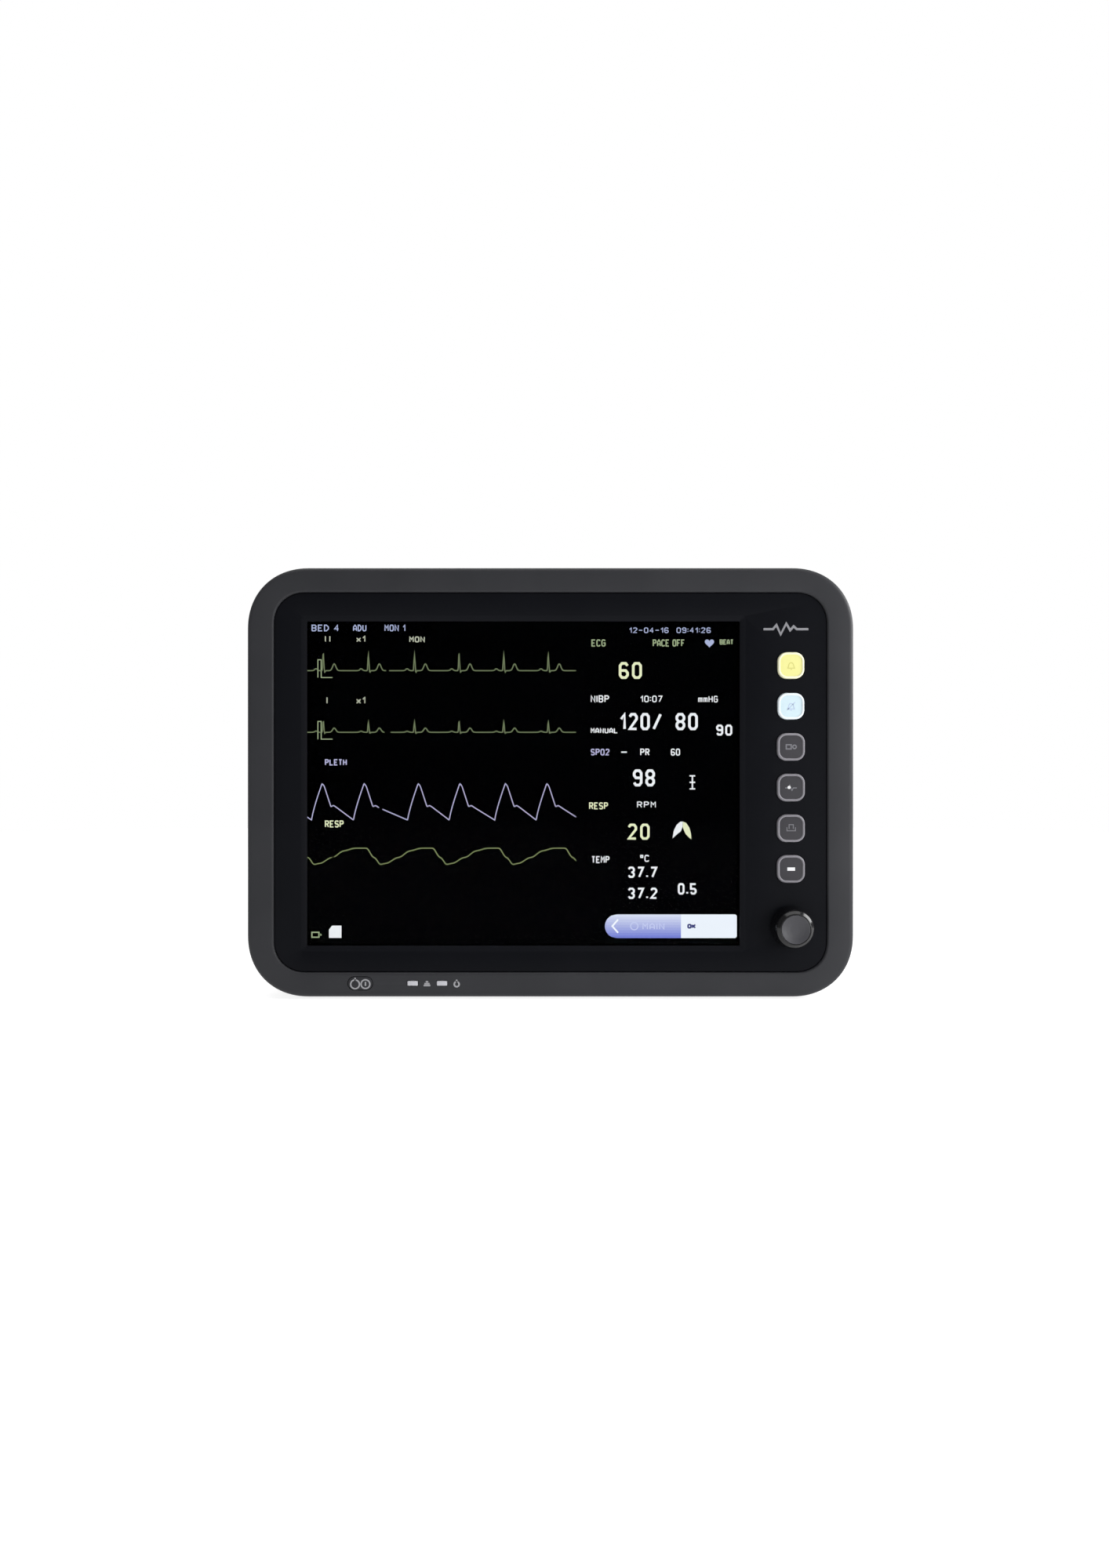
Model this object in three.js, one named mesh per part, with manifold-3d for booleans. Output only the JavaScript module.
// Bedside patient monitor, modelled in millimetres with +Z up.
// The front looks along -Y, +X is the viewer's right, and the feet stand on z = 0.
import * as THREE from "three";
import { mergeVertices } from "three/addons/utils/BufferGeometryUtils.js";
import Module from "manifold-3d";

const wasm = await Module();
wasm.setup();

// ---- driving dimensions ----
const GAP = 0.3; // clearance between neighbouring pieces
const FRAME_W = 346; // front frame, outside
const FRAME_H = 245;
const FRAME_CORNER = 32;
const FRAME_LIFT = 1.3; // lower edge of the frame above the table
const CENTRE_Z = FRAME_LIFT + FRAME_H / 2;
const FRONT_Y = -56; // front face of the frame
const FRAME_BACK_Y = -34;
const FRAME_EDGE = 3; // rounding of the front edge
const BAND_SIDE = 15.2; // visible width of the grey band
const BAND_TOP = 14.1;
const OPENING_CORNER = 18;
const WALL = 3;

const PANEL_Y = FRONT_Y + 1.2; // front face of the black panel
const PANEL_T = 2.5;
const PANEL_BACK_Y = PANEL_Y + PANEL_T;
const LEDGE_Y = PANEL_BACK_Y + GAP;
const LEDGE_BACK_Y = LEDGE_Y + 2.4;
const PAST = 1; // how far a cutter runs past the face it leaves
const LEDGE = 19; // from the frame's outer edge to the ledge's inner edge

const ACTIVE_W = 247.5; // visible area of the display
const ACTIVE_H = 185.6;
const ACTIVE_X = -15.5;
const ACTIVE_Z = -0.7; // from the frame's centre
const WINDOW_BEVEL = 3;
const LENS_Y = LEDGE_Y;
const LENS_T = 1.2;
const LENS_MARGIN = 4; // glued border behind the panel
const LCD_Y = LEDGE_BACK_Y + GAP;
const LCD_T = 6.5;
const LCD_W = 274;
const LCD_H = 204;

const KEY_X = 137;
const KEY_TOP_Z = 66.6;
const KEY_PITCH = 23.2;
const KEY_SIZE = 16.2;
const KEY_CORNER = 5;
const KEY_FRONT_Y = PANEL_Y - 1.8;
const KEY_FLANGE = 1.5;
const KEY_FLANGE_T = 1.5;
const MAT_Y = -49.2; // tips of the silicone domes, past the keys' travel
const MAT_DOME = 0.8;
const MAT_BORDER = 9; // from the outer keys' centres
const BOARD_T = 1.6;
const KEY_BOARD_Y = -47.3;

const KNOB_Z = -82.3;
const KNOB_R = 12;
const KNOB_SHOULDER_R = 11.3;
const KNOB_SHOULDER = 6.2; // depth of the rounded front part
const KNOB_FRONT_R = 8.2;
const KNOB_CAP_R = 7.6;
const KNOB_FRONT_Y = -68.9;
const KNOB_BACK_Y = PANEL_Y - 1.2;
const SHAFT_R = 3;
const BUSHING_R = 4.2;
const ENCODER_HALF = 6.8;
const ROTOR_R = 5.5;

const BOTTOM_MARK_Z = -114.5; // row of the power key and the indicators
const POWER_X = -108.3;
const POWER_KEY_W = 14;
const POWER_KEY_H = 7.4;
const POWER_FLANGE = 1.5;
const LED_BATTERY_X = -78.5;
const LED_MAINS_X = -61.8;
const LED_W = 6;
const LED_H = 2.8;

const SHELL_FRONT_Y = FRAME_BACK_Y + GAP;
const SHELL_BACK_Y = 65.4;
const FOOT_H = 4;
const SHELL_BOTTOM = FOOT_H + GAP;

const CHASSIS_Y = -41.5;
const CHASSIS_T = 1.5;
const MAIN_BOARD_Y = -30;
const CABLE_LEFT = -42;
const CABLE_RIGHT = -9;
const CABLE_LOW_Z = 31;
const CABLE_T = 0.8;

const HANDLE_PIVOT_Y = 12;
const HANDLE_PIVOT_Z = 235;
const HANDLE_ARM_X = 62;
const HANDLE_LENGTH = 44;
const HANDLE_SLOPE = THREE.MathUtils.degToRad(-24);
const HANDLE_ARM_W = 10;
const HANDLE_BOSS_R = 7;
const HANDLE_PIN_R = 3;
const EAR_X = 74;
const EAR_T = 8;

const DOOR_LEFT = -112;
const DOOR_RIGHT = -12;
const DOOR_AXIS_Y = 63.9;
const DOOR_AXIS_Z = 27;
const DOOR_TOP_Z = 70;
const DOOR_PIN_R = 1;
const KNUCKLE_R = 2;
const LUG_INSET = 9; // from the door's ends to the lugs
const LUG_T = 6;

const SIDE_PLATE_X = -151.5; // outer face of the connector panel's floor
const SIDE_FRONT_Y = -18;
const SIDE_BACK_Y = 34;
const SIDE_LOW_Z = 62;
const SIDE_HIGH_Z = 194;
const SIDE_DEPTH = 9; // from the floor out to the rim
const SIDE_RIM = 2.7;
const SOCKET_Y = 8;

const INLET_X = 95;
const INLET_W = 34;
const INLET_H = 26;
const INLET_MOUTH_W = 24;
const INLET_MOUTH_H = 16;
const LAN_X = 48;
const USB_X = 24;
const GROUND_X = 70;
const IO_Z = 40;

const PLATE_SIZE = 110; // rear mounting plate
const PLATE_T = 3.2;
const PLATE_Z = 128;
const PLATE_PITCH = 75; // between the screw holes
const POST_X = 124;
const POST_LOW_Z = 39;
const POST_HIGH_Z = 172;
const SCREW_LENGTH = 12;

// ---- solids from three.js geometry ----
function solid(geometry) {
  const bare = geometry.clone();
  bare.deleteAttribute("normal");
  bare.deleteAttribute("uv");
  const merged = mergeVertices(bare, 1e-4);
  return new wasm.Manifold(
    new wasm.Mesh({
      numProp: 3,
      vertProperties: new Float32Array(merged.attributes.position.array),
      triVerts: new Uint32Array(merged.index.array),
    }),
  );
}

function geometryOf(body) {
  const mesh = body.getMesh();
  const positions = new Float32Array(mesh.numVert * 3);
  for (let i = 0; i < mesh.numVert; i++) {
    const start = i * mesh.numProp;
    positions.set(mesh.vertProperties.subarray(start, start + 3), i * 3);
  }
  const geometry = new THREE.BufferGeometry();
  geometry.setAttribute("position", new THREE.BufferAttribute(positions, 3));
  geometry.setIndex(new THREE.BufferAttribute(new Uint32Array(mesh.triVerts), 1));
  geometry.computeVertexNormals();
  return geometry;
}

const join = (first, ...others) => others.reduce((sum, other) => sum.add(other), first);
const cut = (first, ...others) => others.reduce((rest, other) => rest.subtract(other), first);

function box(x1, x2, y1, y2, z1, z2) {
  const geometry = new THREE.BoxGeometry(x2 - x1, y2 - y1, z2 - z1);
  geometry.translate((x1 + x2) / 2, (y1 + y2) / 2, (z1 + z2) / 2);
  return solid(geometry);
}

function cylinder(axis, radius, from, to, a, b, segments = 24) {
  const geometry = new THREE.CylinderGeometry(radius, radius, to - from, segments);
  if (axis === "x") {
    geometry.rotateZ(Math.PI / 2);
    geometry.translate((from + to) / 2, a, b);
  } else if (axis === "y") {
    geometry.translate(a, (from + to) / 2, b);
  } else {
    geometry.rotateX(Math.PI / 2);
    geometry.translate(a, b, (from + to) / 2);
  }
  return solid(geometry);
}

// A body of revolution about the Y axis; the profile is [radius, y] from low y to high y.
function turned(profile, segments = 24) {
  const points = profile.map(([radius, y]) => new THREE.Vector2(radius, y));
  return solid(new THREE.LatheGeometry(points, segments));
}

// One loop of a rounded rectangle in the XZ plane, anticlockwise as the front is looked at.
function roundedLoop({ x = 0, z = 0, width, height, corner, y, steps = 8 }) {
  const points = [];
  const corners = [
    [1, 1, 0],
    [-1, 1, 1],
    [-1, -1, 2],
    [1, -1, 3],
  ];
  for (const [sideX, sideZ, quarter] of corners) {
    const cx = x + sideX * (width / 2 - corner);
    const cz = z + sideZ * (height / 2 - corner);
    for (let i = 0; i <= steps; i++) {
      const angle = ((quarter + i / steps) * Math.PI) / 2;
      points.push(
        new THREE.Vector3(cx + corner * Math.cos(angle), y, cz + corner * Math.sin(angle)),
      );
    }
  }
  return points;
}

// Skins equal loops from front to back: with caps it is a plug, without them it closes on itself.
function loft(loops, capped = true) {
  const count = loops[0].length;
  const positions = loops.flat().flatMap((p) => [p.x, p.y, p.z]);
  const index = [];
  const lastLoop = capped ? loops.length - 1 : loops.length;
  for (let k = 0; k < lastLoop; k++) {
    const a = k * count;
    const b = ((k + 1) % loops.length) * count;
    for (let i = 0; i < count; i++) {
      const next = (i + 1) % count;
      index.push(a + i, b + i, a + next);
      index.push(a + next, b + i, b + next);
    }
  }
  if (capped) {
    const end = (loops.length - 1) * count;
    for (let i = 1; i < count - 1; i++) {
      index.push(0, i, i + 1);
      index.push(end, end + i + 1, end + i);
    }
  }
  const geometry = new THREE.BufferGeometry();
  geometry.setAttribute(
    "position",
    new THREE.BufferAttribute(new Float32Array(positions), 3),
  );
  geometry.setIndex(index);
  return solid(geometry);
}

function roundedPlate(shape, y1, y2) {
  return loft([roundedLoop({ ...shape, y: y1 }), roundedLoop({ ...shape, y: y2 })]);
}

// ---- materials ----
function material(color, roughness, metalness = 0) {
  return new THREE.MeshStandardMaterial({ color, roughness, metalness });
}

const materials = {
  frameGrey: material(0x35363a, 0.5),
  panelBlack: material(0x0b0c0f, 0.3),
  lensClear: material(0x8f9498, 0.1),
  screenBlack: material(0x020204, 0.25),
  shellGrey: material(0x3b3c40, 0.6),
  keyYellow: material(0xe0dc7a, 0.4),
  keyBlue: material(0xaee0ea, 0.4),
  keyGrey: material(0x3a3a3e, 0.4),
  knobBlack: material(0x141416, 0.25),
  knobGrey: material(0x4c4c50, 0.5),
  silicone: material(0xb9bcbe, 0.8),
  rubber: material(0x1b1b1c, 0.9),
  board: material(0x17502d, 0.5),
  steel: material(0xa9abad, 0.35, 1),
  aluminium: material(0xb4b6b8, 0.4, 1),
  brass: material(0xc9a24a, 0.3, 1),
  lightPipe: material(0xc9cbd0, 0.3),
  socketWhite: material(0xd6d8da, 0.4),
  socketBlue: material(0x3c74b8, 0.4),
  socketBlack: material(0x101012, 0.5),
  batteryBlue: material(0x2c4f7c, 0.5),
  pump: material(0x2c2d30, 0.5),
  tube: material(0x9fa4a8, 0.6),
};

const monitor = new THREE.Group();
const front = new THREE.Group(); // everything placed from the centre of the front frame
front.position.z = CENTRE_Z;
monitor.add(front);
const rear = new THREE.Group(); // everything placed from the table
monitor.add(rear);

function add(group, name, body, look, position = [0, 0, 0]) {
  const mesh = new THREE.Mesh(geometryOf(body), look);
  mesh.name = name;
  mesh.position.set(...position);
  group.add(mesh);
  return mesh;
}

// ---- front frame and panel ----
function frameLoop(inset, y) {
  return roundedLoop({
    width: FRAME_W - 2 * inset,
    height: FRAME_H - 2 * inset,
    corner: FRAME_CORNER - inset,
    y,
  });
}

function openingLoop(grow, y) {
  return roundedLoop({
    width: FRAME_W - 2 * (BAND_SIDE - grow),
    height: FRAME_H - 2 * (BAND_TOP - grow),
    corner: OPENING_CORNER + grow,
    y,
  });
}

const LIP = 0.8; // chamfer round the opening

function frontFrame() {
  const edgeSteps = 3;
  const loops = [];
  for (let i = 0; i <= edgeSteps; i++) {
    const angle = ((i / edgeSteps) * Math.PI) / 2;
    const inset = FRAME_EDGE * (1 - Math.sin(angle));
    loops.push(frameLoop(inset, FRONT_Y + FRAME_EDGE * (1 - Math.cos(angle))));
  }
  loops.push(frameLoop(0, FRAME_BACK_Y));
  loops.push(frameLoop(WALL, FRAME_BACK_Y));
  loops.push(frameLoop(WALL, LEDGE_BACK_Y));
  loops.push(frameLoop(LEDGE, LEDGE_BACK_Y));
  loops.push(frameLoop(LEDGE, LEDGE_Y));
  loops.push(openingLoop(0, LEDGE_Y));
  loops.push(openingLoop(0, FRONT_Y + LIP));
  loops.push(openingLoop(LIP, FRONT_Y));
  const ring = loft(loops, false);
  const through = [FRONT_Y - PAST, LEDGE_BACK_Y + PAST];
  const keyHole = roundedPlate(powerKeyShape(2 * GAP), ...through);
  const ledHoles = [LED_BATTERY_X, LED_MAINS_X].map((x) =>
    roundedPlate(indicatorShape(x, 2 * GAP), ...through),
  );
  return cut(ring, keyHole, ...ledHoles);
}

function powerKeyShape(extra = 0) {
  const height = POWER_KEY_H + extra;
  const corner = height / 2 - 0.01;
  return { x: POWER_X, z: BOTTOM_MARK_Z, width: POWER_KEY_W + extra, height, corner, steps: 6 };
}

function indicatorShape(x, extra = 0) {
  const height = LED_H + extra;
  return { x, z: BOTTOM_MARK_Z, width: LED_W + extra, height, corner: 0.6, steps: 2 };
}

function keyShape(extra) {
  const size = KEY_SIZE + 2 * extra;
  return { width: size, height: size, corner: KEY_CORNER + extra, steps: 4 };
}

const keys = [
  ["key_alarm_silence", materials.keyYellow],
  ["key_alarm_pause", materials.keyBlue],
  ["key_cuff_pressure", materials.keyGrey],
  ["key_freeze", materials.keyGrey],
  ["key_record", materials.keyGrey],
  ["key_menu", materials.keyGrey],
];
const keyZ = (row) => KEY_TOP_Z - row * KEY_PITCH;

function frontPanel() {
  const blank = loft([openingLoop(-GAP, PANEL_Y), openingLoop(-GAP, PANEL_BACK_Y)]);
  const opening = { x: ACTIVE_X, z: ACTIVE_Z, corner: 1.2, steps: 2 };
  const wide = { ...opening, width: ACTIVE_W + 2 * WINDOW_BEVEL };
  wide.height = ACTIVE_H + 2 * WINDOW_BEVEL;
  const narrow = { ...opening, width: ACTIVE_W, height: ACTIVE_H };
  const through = [PANEL_Y - PAST, PANEL_BACK_Y + PAST];
  const window = loft([
    roundedLoop({ ...wide, y: through[0] }),
    roundedLoop({ ...wide, y: PANEL_Y }),
    roundedLoop({ ...narrow, y: PANEL_Y + WINDOW_BEVEL / 2 }),
    roundedLoop({ ...narrow, y: through[1] }),
  ]);
  const keyHoles = keys.map((_, row) =>
    roundedPlate({ ...keyShape(GAP), x: KEY_X, z: keyZ(row) }, ...through),
  );
  const shaftHole = cylinder("y", BUSHING_R + GAP, ...through, KEY_X, KNOB_Z);
  return cut(blank, window, shaftHole, ...keyHoles);
}

add(front, "front_frame", frontFrame(), materials.frameGrey);
add(front, "front_panel", frontPanel(), materials.panelBlack);

// ---- display ----
const lensShape = {
  width: ACTIVE_W + 2 * LENS_MARGIN,
  height: ACTIVE_H + 2 * LENS_MARGIN,
  corner: 1.5,
  steps: 2,
};
add(
  front,
  "display_lens",
  roundedPlate(lensShape, 0, LENS_T),
  materials.lensClear,
  [ACTIVE_X, LENS_Y, ACTIVE_Z],
);

function displayGasket() {
  const depth = LCD_Y - LENS_Y - LENS_T - 2 * GAP;
  const inside = 1; // from the visible area to the foam
  const outside = roundedPlate(lensShape, 0, depth);
  const hole = {
    width: ACTIVE_W + 2 * inside,
    height: ACTIVE_H + 2 * inside,
    corner: 1,
    steps: 2,
  };
  return cut(outside, roundedPlate(hole, -PAST, depth + PAST));
}
add(front, "display_gasket", displayGasket(), materials.rubber, [
  ACTIVE_X,
  LENS_Y + LENS_T + GAP,
  ACTIVE_Z,
]);

function lcdPanel() {
  const glass = roundedPlate({ width: LCD_W, height: LCD_H, corner: 1.5, steps: 2 }, 0, LCD_T);
  const low = -LCD_H / 2 + 8;
  const connector = box(-30, 10, LCD_T - PAST, LCD_T + 0.6, low, low + 6);
  return join(glass, connector);
}
add(front, "lcd_panel", lcdPanel(), materials.screenBlack, [ACTIVE_X, LCD_Y, ACTIVE_Z]);

// ---- keys, knob and their boards ----
function keyCap() {
  const flangeY = PANEL_BACK_Y + GAP - KEY_FRONT_Y;
  const backY = flangeY + KEY_FLANGE_T;
  return loft([
    roundedLoop({ ...keyShape(-1), y: 0 }),
    roundedLoop({ ...keyShape(-0.3), y: 0.3 }),
    roundedLoop({ ...keyShape(0), y: 1 }),
    roundedLoop({ ...keyShape(0), y: flangeY }),
    roundedLoop({ ...keyShape(KEY_FLANGE), y: flangeY }),
    roundedLoop({ ...keyShape(KEY_FLANGE), y: backY }),
  ]);
}

keys.forEach(([name, look], row) => {
  add(front, name, keyCap(), look, [KEY_X, KEY_FRONT_Y, keyZ(row)]);
});

function keypadMat() {
  const sheetY = MAT_Y + MAT_DOME;
  const half = MAT_BORDER + 2;
  const low = keyZ(keys.length - 1) - MAT_BORDER;
  const high = keyZ(0) + MAT_BORDER;
  const sheet = box(KEY_X - half, KEY_X + half, sheetY, KEY_BOARD_Y - GAP, low, high);
  const domes = keys.map((_, row) =>
    cylinder("y", 4, MAT_Y, sheetY + MAT_DOME / 2, KEY_X, keyZ(row), 12),
  );
  return join(sheet, ...domes);
}

function keypadBoard() {
  const half = MAT_BORDER + 3;
  const low = KNOB_Z - half;
  const high = keyZ(0) + half;
  return box(KEY_X - half, KEY_X + half, KEY_BOARD_Y, KEY_BOARD_Y + BOARD_T, low, high);
}
add(front, "keypad_mat", keypadMat(), materials.silicone);
add(front, "keypad_board", keypadBoard(), materials.board);

const knobPlace = [KEY_X, 0, KNOB_Z];
const ENCODER_FRONT_Y = PANEL_BACK_Y + GAP;
const ENCODER_BACK_Y = KEY_BOARD_Y - GAP;
const BUSHING_FRONT_Y = PANEL_Y - 2;
const ROTOR_BACK_Y = ENCODER_BACK_Y - 0.7;
const ROTOR_ROOM_Y = ENCODER_FRONT_Y + 1.2;
const KNOB_TRAVEL = 0.8;

function encoderBody() {
  const half = ENCODER_HALF;
  const housing = box(-half, half, ENCODER_FRONT_Y, ENCODER_BACK_Y, -half, half);
  const bushing = cylinder("y", BUSHING_R, BUSHING_FRONT_Y, ENCODER_FRONT_Y + PAST, 0, 0, 20);
  const bore = cylinder("y", SHAFT_R + GAP, BUSHING_FRONT_Y - PAST, ENCODER_BACK_Y, 0, 0, 20);
  const rotorRoom = cylinder("y", ROTOR_R + GAP, ROTOR_ROOM_Y, ENCODER_BACK_Y + PAST, 0, 0);
  return cut(join(housing, bushing), bore, rotorRoom);
}

function encoderRotor() {
  const frontY = ROTOR_ROOM_Y + GAP;
  return cut(
    cylinder("y", ROTOR_R, frontY, ROTOR_BACK_Y, 0, 0),
    cylinder("y", SHAFT_R + GAP, frontY - PAST, ROTOR_BACK_Y + PAST, 0, 0, 20),
  );
}

function encoderShaft() {
  const backY = ENCODER_BACK_Y - KNOB_TRAVEL - 0.1;
  return turned(
    [
      [0, KNOB_FRONT_Y + 3.4],
      [SHAFT_R - 0.4, KNOB_FRONT_Y + 3.4],
      [SHAFT_R, KNOB_FRONT_Y + 3.8],
      [SHAFT_R, backY],
      [0, backY],
    ],
    20,
  );
}

function knobBody() {
  const recessY = BUSHING_FRONT_Y - 1.6;
  const boreY = KNOB_FRONT_Y + 3.1;
  const shoulder = [1, 2, 3, 4].map((step) => {
    const angle = (step / 4) * (Math.PI / 2);
    const radius = KNOB_FRONT_R + (KNOB_SHOULDER_R - KNOB_FRONT_R) * Math.sin(angle);
    return [radius, KNOB_FRONT_Y + KNOB_SHOULDER * (1 - Math.cos(angle))];
  });
  return turned(
    [
      [0, KNOB_FRONT_Y + PAST],
      [KNOB_CAP_R + GAP, KNOB_FRONT_Y + PAST],
      [KNOB_CAP_R + GAP, KNOB_FRONT_Y],
      [KNOB_FRONT_R, KNOB_FRONT_Y],
      ...shoulder,
      [KNOB_R, KNOB_BACK_Y - 0.6],
      [KNOB_R, KNOB_BACK_Y],
      [BUSHING_R + 1.4, KNOB_BACK_Y],
      [BUSHING_R + 1.4, recessY],
      [SHAFT_R + GAP, recessY],
      [SHAFT_R + GAP, boreY],
      [0, boreY],
    ],
    32,
  );
}

function knobCap() {
  const dish = 0.35; // the middle lies this much deeper than the edge
  return turned(
    [
      [0, KNOB_FRONT_Y + dish],
      [KNOB_CAP_R * 0.7, KNOB_FRONT_Y + dish / 2],
      [KNOB_CAP_R, KNOB_FRONT_Y + 0.1],
      [KNOB_CAP_R, KNOB_FRONT_Y + 0.7],
      [0, KNOB_FRONT_Y + 0.7],
    ],
    32,
  );
}
add(front, "encoder_body", encoderBody(), materials.steel, knobPlace);
add(front, "encoder_rotor", encoderRotor(), materials.socketBlack, knobPlace);
add(front, "encoder_shaft", encoderShaft(), materials.steel, knobPlace);
add(front, "knob", knobBody(), materials.knobBlack, knobPlace);
add(front, "knob_cap", knobCap(), materials.knobGrey, knobPlace);

// ---- power key, indicators and their board ----
const INDICATOR_BOARD_Y = -43;
const SWITCH_Y = -46.4;

function powerKey() {
  const flange = { ...powerKeyShape(), width: POWER_KEY_W + 2 * POWER_FLANGE };
  const flangeY = LEDGE_BACK_Y + GAP;
  const cap = roundedPlate(powerKeyShape(), FRONT_Y - 0.2, flangeY + PAST);
  return join(cap, roundedPlate(flange, flangeY, flangeY + 1.2));
}

function powerSwitch() {
  const can = box(-3, 3, SWITCH_Y, INDICATOR_BOARD_Y - GAP, -3, 3);
  return join(can, cylinder("y", 1.6, SWITCH_Y - 0.5, SWITCH_Y + 0.2, 0, 0, 12));
}

function lightPipe(x) {
  return roundedPlate(indicatorShape(x), FRONT_Y - 0.1, INDICATOR_BOARD_Y - 1.5);
}

function indicatorBoard() {
  const low = BOTTOM_MARK_Z - 4;
  const high = BOTTOM_MARK_Z + 8;
  const backY = INDICATOR_BOARD_Y + BOARD_T;
  return box(POWER_X - 10, LED_MAINS_X + 8, INDICATOR_BOARD_Y, backY, low, high);
}
add(front, "power_key", powerKey(), materials.frameGrey);
add(front, "power_switch", powerSwitch(), materials.steel, [POWER_X, 0, BOTTOM_MARK_Z]);
add(front, "light_pipe_battery", lightPipe(LED_BATTERY_X), materials.lightPipe);
add(front, "light_pipe_mains", lightPipe(LED_MAINS_X), materials.lightPipe);
add(front, "indicator_board", indicatorBoard(), materials.board);

// ---- rear shell ----
// Each section is [y, width, top, bottom, corner] of the shell's outside.
const shellSections = [
  [SHELL_FRONT_Y, 342, 244.6, SHELL_BOTTOM, 30],
  [-20, 340, 242.4, SHELL_BOTTOM, 30],
  [-6, 336.5, 235, SHELL_BOTTOM, 30],
  [34, 324, 216, SHELL_BOTTOM, 30],
  [50, 308, 207, SHELL_BOTTOM, 28],
  [60, 288, 198, 7, 24],
  [64, 276, 190, 11, 18],
  [SHELL_BACK_Y, 268, 185, 15, 14],
];

function shellLoop([y, width, top, bottom, corner], inset = 0, shift = 0) {
  return roundedLoop({
    z: (top + bottom) / 2,
    width: width - 2 * inset,
    height: top - bottom - 2 * inset,
    corner: corner - inset,
    y: y + shift,
  });
}

function shellSkin() {
  const outside = loft(shellSections.map((section) => shellLoop(section)));
  const hollow = loft([
    shellLoop(shellSections[0], WALL, -PAST),
    ...shellSections.slice(0, 6).map((section) => shellLoop(section, WALL)),
    shellLoop([SHELL_BACK_Y - WALL, 276, 190, 11, 18], WALL),
  ]);
  return cut(outside, hollow);
}

function handleEar(side) {
  const left = side * EAR_X - EAR_T / 2;
  const right = left + EAR_T;
  const y = HANDLE_PIVOT_Y;
  const z = HANDLE_PIVOT_Z;
  const round = cylinder("x", HANDLE_BOSS_R, left, right, y, z, 20);
  return join(round, box(left, right, y - HANDLE_BOSS_R, y + HANDLE_BOSS_R, z - 11, z));
}

function doorLug(x) {
  const left = x - LUG_T / 2;
  const right = x + LUG_T / 2;
  const round = cylinder("x", KNUCKLE_R, left, right, DOOR_AXIS_Y, DOOR_AXIS_Z, 12);
  const frontY = DOOR_AXIS_Y - KNUCKLE_R;
  return join(round, box(left, right, frontY, SHELL_BACK_Y, DOOR_AXIS_Z - 4, DOOR_AXIS_Z));
}

function slots(count, pitch, makeSlot) {
  return Array.from({ length: count }, (_, i) => makeSlot((i - (count - 1) / 2) * pitch));
}

const doorLugX = [DOOR_LEFT + LUG_INSET, DOOR_RIGHT - LUG_INSET];
const feetPlaces = [
  ["foot_front_left", -120, -12],
  ["foot_front_right", 120, -12],
  ["foot_rear_left", -120, 40],
  ["foot_rear_right", 120, 40],
];
const screwPlaces = [
  ["casing_screw_1", -POST_X, POST_LOW_Z],
  ["casing_screw_2", POST_X, POST_LOW_Z],
  ["casing_screw_3", -POST_X, POST_HIGH_Z],
  ["casing_screw_4", POST_X, POST_HIGH_Z],
];

function rearShell() {
  const backIn = SHELL_BACK_Y - WALL - 2;
  const backOut = SHELL_BACK_Y + PAST;
  const doorLow = DOOR_AXIS_Z - 2.4;
  const beside = [FRAME_W / 2 - 28, FRAME_W / 2 + 8]; // cuts the side walls only
  const sideWindow = box(
    -beside[1],
    -beside[0],
    SIDE_FRONT_Y,
    SIDE_BACK_Y,
    SIDE_LOW_Z,
    SIDE_HIGH_Z,
  );
  const doorWindow = box(
    DOOR_LEFT - GAP,
    DOOR_RIGHT + GAP,
    backIn,
    backOut,
    doorLow,
    DOOR_TOP_Z + GAP,
  );
  const backHole = (x, halfW, halfH) =>
    box(x - halfW, x + halfW, backIn, backOut, IO_Z - halfH, IO_Z + halfH);
  const inletHole = backHole(INLET_X, 14, 10.5);
  const lanHole = backHole(LAN_X, 8.3, 7.3);
  const usbHole = backHole(USB_X, 7.3, 4);
  const groundHole = cylinder("y", 3.4, backIn, backOut, GROUND_X, IO_Z, 16);
  const screwHoles = screwPlaces.map(([, x, z]) => cylinder("y", 2.2, backIn, backOut, x, z, 12));
  const topVents = slots(7, 14, (x) => box(x - 4.5, x + 4.5, 40, 46, 195, 225));
  const rightVents = slots(9, 7, (y) => box(...beside, y + 5, y + 8, 90, 170));
  const speakerSlots = slots(5, 6, (z) => box(94, 122, backIn, backOut, z + 99, z + 101.6));
  const windows = [sideWindow, doorWindow, inletHole, lanHole, usbHole, groundHole];
  const vents = [...screwHoles, ...topVents, ...rightVents, ...speakerSlots];
  const hollowShell = cut(shellSkin(), ...windows, ...vents);
  const pinHole = (x) =>
    cylinder("x", HANDLE_PIN_R + GAP, x - EAR_T, x + EAR_T, HANDLE_PIVOT_Y, HANDLE_PIVOT_Z, 20);
  const lugHole = (x) =>
    cylinder("x", DOOR_PIN_R + GAP, x - LUG_T, x + LUG_T, DOOR_AXIS_Y, DOOR_AXIS_Z, 12);
  return cut(
    join(hollowShell, handleEar(-1), handleEar(1), ...doorLugX.map(doorLug)),
    pinHole(-EAR_X),
    pinHole(EAR_X),
    ...doorLugX.map(lugHole),
  );
}
add(rear, "rear_shell", rearShell(), materials.shellGrey);

feetPlaces.forEach(([name, x, y]) => {
  const foot = turned(
    [
      [0, -FOOT_H],
      [7, -FOOT_H],
      [8, -FOOT_H + 1],
      [8, 0],
      [0, 0],
    ],
    20,
  );
  const mesh = add(rear, name, foot, materials.rubber, [x, y, FOOT_H]);
  mesh.rotation.x = Math.PI / 2;
});

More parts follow.
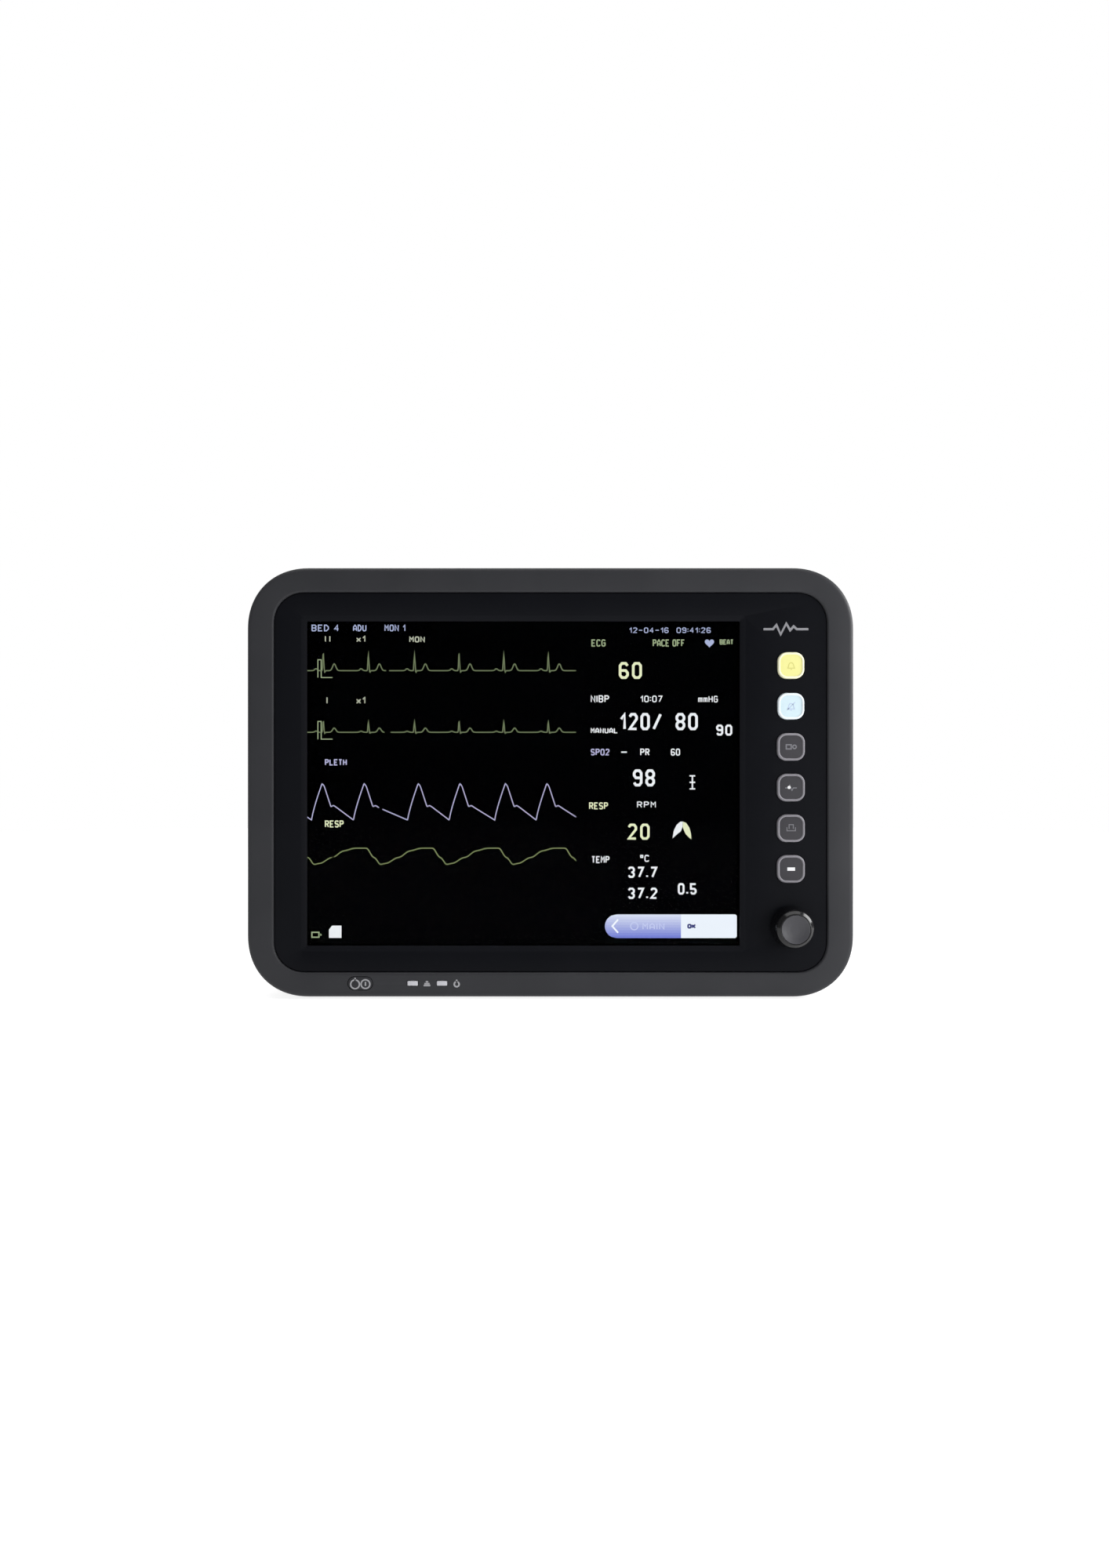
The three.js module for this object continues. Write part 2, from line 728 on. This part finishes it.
screwPlaces.forEach(([name, x, z]) => {
  const screw = turned(
    [
      [0, SHELL_BACK_Y - SCREW_LENGTH],
      [1.5, SHELL_BACK_Y - SCREW_LENGTH],
      [1.5, SHELL_BACK_Y + GAP],
      [3.4, SHELL_BACK_Y + GAP],
      [3.2, SHELL_BACK_Y + 1.6],
      [2.2, SHELL_BACK_Y + 2.2],
      [0, SHELL_BACK_Y + 2.2],
    ],
    16,
  );
  add(rear, name, screw, materials.steel, [x, 0, z]);
});

// ---- carrying handle ----
function carryHandle() {
  const half = HANDLE_ARM_W / 2;
  const grip = new THREE.CapsuleGeometry(6, 2 * HANDLE_ARM_X - 4, 4, 12);
  grip.rotateZ(Math.PI / 2);
  grip.scale(1, 1.2, 0.9);
  grip.translate(0, HANDLE_LENGTH, 0);
  const arm = (side) => {
    const x = side * HANDLE_ARM_X;
    const bar = box(x - half, x + half, 0, HANDLE_LENGTH, -4.4, 4.4);
    const boss = cylinder("x", HANDLE_BOSS_R, x - half, x + half, 0, 0, 20);
    return join(bar, boss);
  };
  const bore = (side) => {
    const x = side * HANDLE_ARM_X;
    return cylinder("x", HANDLE_PIN_R + GAP, x - half - PAST, x + half + PAST, 0, 0, 20);
  };
  return cut(join(solid(grip), arm(-1), arm(1)), bore(-1), bore(1));
}
const handle = add(rear, "carry_handle", carryHandle(), materials.frameGrey, [
  0,
  HANDLE_PIVOT_Y,
  HANDLE_PIVOT_Z,
]);
handle.rotation.x = HANDLE_SLOPE;

[
  ["handle_pin_left", -1],
  ["handle_pin_right", 1],
].forEach(([name, side]) => {
  const inner = HANDLE_ARM_X - HANDLE_ARM_W / 2;
  const outer = EAR_X + EAR_T / 2 + GAP;
  const shank = cylinder("x", HANDLE_PIN_R, inner, outer + PAST, 0, 0, 20);
  const head = cylinder("x", 5, outer, outer + 1.6, 0, 0, 20);
  const mesh = add(rear, name, join(shank, head), materials.steel, [
    0,
    HANDLE_PIVOT_Y,
    HANDLE_PIVOT_Z,
  ]);
  if (side < 0) mesh.rotation.z = Math.PI;
});

// ---- battery door, its pin, the tray and the pack ----
function batteryDoor() {
  const plate = box(
    DOOR_LEFT,
    DOOR_RIGHT,
    SHELL_BACK_Y - WALL,
    SHELL_BACK_Y,
    DOOR_AXIS_Z + 2.8,
    DOOR_TOP_Z,
  );
  const left = doorLugX[0] + LUG_T / 2 + GAP;
  const right = doorLugX[1] - LUG_T / 2 - GAP;
  const middle = (DOOR_LEFT + DOOR_RIGHT) / 2;
  const knuckle = cylinder("x", KNUCKLE_R, left, right, DOOR_AXIS_Y, DOOR_AXIS_Z, 16);
  const web = box(left, right, SHELL_BACK_Y - WALL, SHELL_BACK_Y, DOOR_AXIS_Z, DOOR_AXIS_Z + 4);
  const pull = box(
    middle - 12,
    middle + 12,
    SHELL_BACK_Y - PAST,
    SHELL_BACK_Y + 2,
    DOOR_TOP_Z - 6,
    DOOR_TOP_Z - 3,
  );
  const boreR = DOOR_PIN_R + GAP;
  const bore = cylinder("x", boreR, left - PAST, right + PAST, DOOR_AXIS_Y, DOOR_AXIS_Z, 12);
  return cut(join(plate, knuckle, web, pull), bore);
}
add(rear, "battery_door", batteryDoor(), materials.shellGrey);

function doorPin() {
  const left = doorLugX[0] - LUG_T / 2;
  const right = doorLugX[1] + LUG_T / 2;
  return cylinder("x", DOOR_PIN_R, left, right, DOOR_AXIS_Y, DOOR_AXIS_Z, 12);
}
add(rear, "battery_door_pin", doorPin(), materials.steel);

const TRAY_FRONT_Y = -20;
const TRAY_BACK_Y = 58;
const TRAY_WALL = 2;

function batteryTray() {
  const room = batteryBox(TRAY_WALL, TRAY_BACK_Y + PAST);
  return cut(batteryBox(0, TRAY_BACK_Y), room);
}

// A box inside the tray's outline, smaller by inset on each closed side.
function batteryBox(inset, backY) {
  return box(
    DOOR_LEFT + 2 + inset,
    DOOR_RIGHT - 2 - inset,
    TRAY_FRONT_Y + inset,
    backY,
    DOOR_AXIS_Z + 3 + inset,
    DOOR_TOP_Z - 2 - inset,
  );
}
add(rear, "battery_tray", batteryTray(), materials.socketBlack);
add(rear, "battery_pack", batteryBox(TRAY_WALL + 1, TRAY_BACK_Y), materials.batteryBlue);

// ---- side connector panel and its sockets ----
function connectorPanel() {
  const tray = box(
    SIDE_PLATE_X - SIDE_DEPTH,
    SIDE_PLATE_X + WALL,
    SIDE_FRONT_Y + GAP,
    SIDE_BACK_Y - GAP,
    SIDE_LOW_Z + GAP,
    SIDE_HIGH_Z - GAP,
  );
  const inset = GAP + SIDE_RIM;
  const pocket = box(
    SIDE_PLATE_X - SIDE_DEPTH - PAST,
    SIDE_PLATE_X,
    SIDE_FRONT_Y + inset,
    SIDE_BACK_Y - inset,
    SIDE_LOW_Z + inset,
    SIDE_HIGH_Z - inset,
  );
  const through = [SIDE_PLATE_X - PAST, SIDE_PLATE_X + WALL + PAST];
  const holes = sockets.map(({ barrel, z }) =>
    cylinder("x", barrel + GAP, ...through, SOCKET_Y, z, 20),
  );
  return cut(tray, pocket, ...holes);
}

const sockets = [
  { name: "ecg_socket", barrel: 9, bore: 7, flange: 11.5, z: 172, look: "socketWhite" },
  { name: "spo2_socket", barrel: 8, bore: 6.2, flange: 10.5, z: 144, look: "socketBlue" },
  { name: "nibp_port", barrel: 5, bore: 2, flange: 8, z: 119, look: "steel" },
  { name: "temp_socket_1", barrel: 5.4, bore: 4, flange: 7.5, z: 97, look: "socketWhite" },
  { name: "temp_socket_2", barrel: 5.4, bore: 4, flange: 7.5, z: 76, look: "socketWhite" },
];

// A panel socket: mouth outwards along local -Y, floor at the back of the bore.
function socket({ barrel, bore, flange }) {
  const mouthY = -8;
  const floorY = 6;
  const backY = 9;
  const flangeY = -2.3;
  return turned(
    [
      [0, floorY],
      [bore, floorY],
      [bore, mouthY],
      [barrel - 0.4, mouthY],
      [barrel, mouthY + 0.4],
      [barrel, flangeY],
      [flange, flangeY],
      [flange, -GAP],
      [barrel, -GAP],
      [barrel, backY],
      [0, backY],
    ],
    20,
  );
}
add(rear, "connector_panel", connectorPanel(), materials.shellGrey);
sockets.forEach((row) => {
  const mesh = add(rear, row.name, socket(row), materials[row.look], [
    SIDE_PLATE_X,
    SOCKET_Y,
    row.z,
  ]);
  mesh.rotation.z = -Math.PI / 2;
});

// ---- sockets in the back ----
// A box round a place on the socket row, from y1 to y2.
function rowBox(x, width, height, y1, y2) {
  return box(x - width / 2, x + width / 2, y1, y2, IO_Z - height / 2, IO_Z + height / 2);
}

function mainsInlet() {
  const frontY = 44;
  const floorY = 50;
  const faceY = SHELL_BACK_Y + 2.5;
  const flange = rowBox(INLET_X, INLET_W, INLET_H, SHELL_BACK_Y + GAP, faceY);
  const housing = rowBox(INLET_X, 27.2, 20, frontY, SHELL_BACK_Y + PAST);
  const mouth = rowBox(INLET_X, INLET_MOUTH_W, INLET_MOUTH_H, floorY, faceY + PAST);
  return cut(join(flange, housing), mouth);
}

function groundPost() {
  const nut = cylinder("y", 5, SHELL_BACK_Y + GAP, SHELL_BACK_Y + 2, GROUND_X, IO_Z, 6);
  const stud = cylinder("y", 3, SHELL_BACK_Y - 12, SHELL_BACK_Y + 3.4, GROUND_X, IO_Z, 16);
  return join(nut, stud);
}

function dataSocket(x, width, height, depth) {
  const frontY = SHELL_BACK_Y - depth;
  const wall = 1;
  const can = rowBox(x, width, height, frontY, SHELL_BACK_Y);
  const mouthSize = [width - 2 * wall, height - 2 * wall];
  return cut(can, rowBox(x, ...mouthSize, frontY + 2, SHELL_BACK_Y + PAST));
}
add(rear, "mains_inlet", mainsInlet(), materials.socketBlack);
add(rear, "ground_post", groundPost(), materials.brass);
add(rear, "lan_socket", dataSocket(LAN_X, 16, 14, 18), materials.steel);
add(rear, "usb_socket", dataSocket(USB_X, 14, 7.4, 16), materials.steel);

function mountingPlate() {
  const reach = PLATE_PITCH / 2;
  const holes = [-1, 1].flatMap((sx) =>
    [-1, 1].map((sz) => cylinder("y", 2.2, -PAST, PLATE_T + PAST, sx * reach, sz * reach, 16)),
  );
  const shape = { width: PLATE_SIZE, height: PLATE_SIZE, corner: 6, steps: 4 };
  return cut(roundedPlate(shape, 0, PLATE_T), ...holes);
}
add(rear, "mounting_plate", mountingPlate(), materials.aluminium, [
  0,
  SHELL_BACK_Y + GAP,
  PLATE_Z,
]);

// ---- inside ----
function chassisPlate() {
  const backY = CHASSIS_Y + CHASSIS_T;
  const half = FRAME_W / 2 - 25;
  const sheet = box(-half, half, CHASSIS_Y, backY, 24, 226);
  const postEnd = SHELL_BACK_Y - WALL - GAP;
  const posts = screwPlaces.map(([, x, z]) => cylinder("y", 4, backY - PAST, postEnd, x, z, 12));
  const threads = screwPlaces.map(([, x, z]) =>
    cylinder("y", 1.9, SHELL_BACK_Y - SCREW_LENGTH - 2, SHELL_BACK_Y, x, z, 12),
  );
  const cableSlot = box(
    CABLE_LEFT - 1,
    CABLE_RIGHT + 1,
    CHASSIS_Y - PAST,
    backY + PAST,
    CABLE_LOW_Z - 2,
    CABLE_LOW_Z + CABLE_T + 2,
  );
  return cut(join(sheet, ...posts), cableSlot, ...threads);
}

function mainBoard() {
  const backY = MAIN_BOARD_Y + BOARD_T;
  const sheet = box(-60, 110, MAIN_BOARD_Y, backY, 88, 205);
  // Each chip is x, z, half its side and its height.
  const chips = [
    [-20, 160, 14, 3],
    [30, 165, 9, 2.5],
    [30, 130, 12, 2],
    [80, 150, 7, 6],
    [-30, 110, 8, 4],
  ].map(([x, z, half, height]) =>
    box(x - half, x + half, backY - 0.5, backY + height, z - half, z + half),
  );
  return join(sheet, ...chips);
}

function powerSupply() {
  const backY = -20;
  const sheet = box(2, 112, backY - 2, backY, 20, 80);
  // Each block is x, z, width and height: the transformer, the bulk capacitor and two coils.
  const blocks = [
    [20, 40, 34, 26],
    [60, 62, 30, 28],
    [92, 40, 26, 24],
    [92, 66, 18, 20],
  ].map(([x, z, width, height]) =>
    box(x - width / 2, x + width / 2, backY - 0.5, backY + height, z - 8, z + 8),
  );
  return join(sheet, ...blocks);
}

// The shielded measuring circuits behind the side sockets, with their header strip.
function parameterModule() {
  const backY = -20;
  const can = box(-118, -66, backY - 14, backY, 84, 200);
  return join(can, box(-112, -96, backY - PAST, backY + 3, 100, 180));
}

function backlightInverter() {
  const frontY = -32;
  const sheet = box(-60, 40, frontY, frontY + BOARD_T, 212, 228);
  return join(sheet, box(-40, -16, frontY + 1, frontY + 8, 214, 226));
}

add(rear, "chassis_plate", chassisPlate(), materials.steel);
add(rear, "main_board", mainBoard(), materials.board);
add(rear, "power_supply", powerSupply(), materials.board);
add(rear, "parameter_module", parameterModule(), materials.aluminium);
add(rear, "backlight_inverter", backlightInverter(), materials.board);

const PUMP_Y = 20;
const PUMP_Z = 100;
const PUMP_JOINT_X = -60; // between the motor and the pump head

function cuffPump() {
  const motor = cylinder("x", 13, PUMP_JOINT_X, PUMP_JOINT_X + 26, PUMP_Y, PUMP_Z, 20);
  const head = cylinder("x", 15, PUMP_JOINT_X - 22, PUMP_JOINT_X + 0.5, PUMP_Y, PUMP_Z, 20);
  const outlet = cylinder("y", 2, PUMP_Y - 20, PUMP_Y - 12, PUMP_JOINT_X - 12, PUMP_Z, 10);
  return join(motor, head, outlet);
}

function bleedValve() {
  const frontY = 2;
  const can = box(-80, -60, frontY, frontY + 20, 124, 146);
  return join(can, cylinder("y", 2, frontY - 6, frontY + PAST, -70, 135, 10));
}
add(rear, "cuff_pump", cuffPump(), materials.pump);
add(rear, "bleed_valve", bleedValve(), materials.steel);

// From the pump's side to the cuff port, level with the port.
function airHose() {
  const route = new THREE.CatmullRomCurve3([
    new THREE.Vector3(-90, SOCKET_Y, 119),
    new THREE.Vector3(-105, SOCKET_Y, 118),
    new THREE.Vector3(-120, SOCKET_Y, 119.5),
    new THREE.Vector3(-130, SOCKET_Y, 119),
    new THREE.Vector3(-141, SOCKET_Y, 119),
  ]);
  const section = new THREE.Shape().absarc(0, 0, 3, 0, 2 * Math.PI);
  return solid(
    new THREE.ExtrudeGeometry(section, { steps: 12, curveSegments: 5, extrudePath: route }),
  );
}
add(rear, "air_hose", airHose(), materials.tube);

function speaker() {
  return turned(
    [
      [0, -22],
      [11, -22],
      [12, -12],
      [20, -3],
      [22, -3],
      [22, 0],
      [19, 0],
      [8, -6],
      [0, -6],
    ],
    24,
  );
}
const speakerPlace = [108, SHELL_BACK_Y - WALL - 1, 100];
add(rear, "speaker", speaker(), materials.socketBlack, speakerPlace);

// A flat ribbon from the display, through the chassis slot, up to the main board.
function displayCable() {
  const riseY = -38;
  const topZ = 94;
  const strip = (y1, y2, z1, z2) => box(CABLE_LEFT, CABLE_RIGHT, y1, y2, z1, z2);
  const out = strip(CHASSIS_Y - 0.1, riseY, CABLE_LOW_Z, CABLE_LOW_Z + CABLE_T);
  const rise = strip(riseY - CABLE_T, riseY, CABLE_LOW_Z, topZ);
  const end = strip(riseY - CABLE_T, MAIN_BOARD_Y - GAP, topZ - CABLE_T, topZ);
  return join(out, rise, end);
}
add(rear, "display_cable", displayCable(), materials.tube);

export default monitor;
